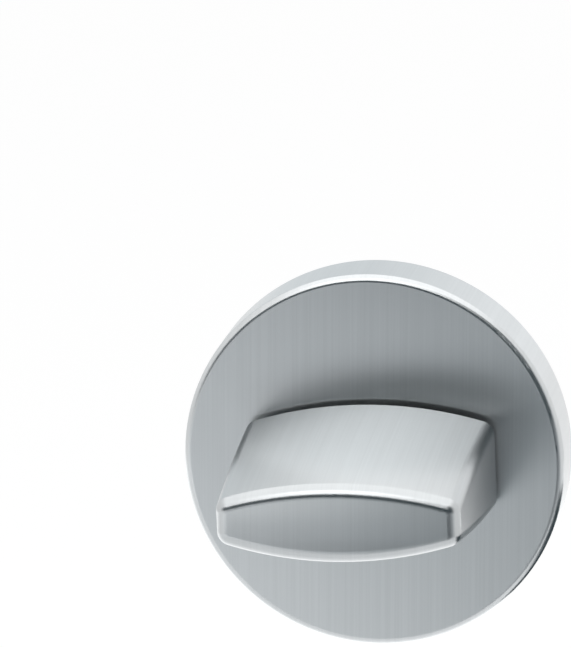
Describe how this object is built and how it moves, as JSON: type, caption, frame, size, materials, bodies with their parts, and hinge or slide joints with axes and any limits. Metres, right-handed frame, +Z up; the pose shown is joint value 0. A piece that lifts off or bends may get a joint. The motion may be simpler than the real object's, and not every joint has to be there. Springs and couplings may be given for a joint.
{
  "type": "bathroom thumbturn",
  "caption": "Bathroom privacy thumbturn: an arched lens-shaped turn knob on a round clip-on rose, with a square spindle to the lock and hidden screw fixing.",
  "frame": {"origin": "centre of the rose's back, in the plane of the door, on the turning axis", "axes": "+Z up, +X to the right as seen from the room, -Y out of the door towards the room, +Y into the door along the spindle"},
  "size_m": [0.055, 0.0909, 0.055],
  "materials": {
    "satin_stainless": "satin stainless steel, finely brushed top to bottom",
    "black_acetal": "dark moulded acetal, matt",
    "grey_polyamide": "dark grey glass-filled polyamide, matt",
    "spring_steel": "bright rolled spring steel",
    "zinc_plate": "bright zinc-plated steel",
    "black_steel": "black oxide steel",
    "sintered_steel": "grey sintered steel, finely porous"
  },
  "bodies": {
    "rose": {"cover_rose": "satin_stainless", "bearing_bush": "black_acetal", "guide_plate": "grey_polyamide", "index_spring_upper": "spring_steel", "index_spring_lower": "spring_steel", "under_rose": "grey_polyamide", "cover_clip_1": "spring_steel", "cover_clip_2": "spring_steel", "cover_clip_3": "spring_steel", "fixing_screws": "zinc_plate"},
    "turn": {"turn_knob": "satin_stainless", "spindle": "zinc_plate", "set_screw": "black_steel", "index_cam": "sintered_steel", "stop_pin": "spring_steel", "spring_washer": "spring_steel", "retaining_ring": "black_steel"}
  },
  "joints": [
    {"name": "turn", "type": "hinge", "parent": "rose", "child": "turn", "pos_m": [0, 0, 0], "axis": [0, 1, 0], "range_deg": [0, 90], "deforming": ["index_spring_upper", "index_spring_lower"]}
  ]
}
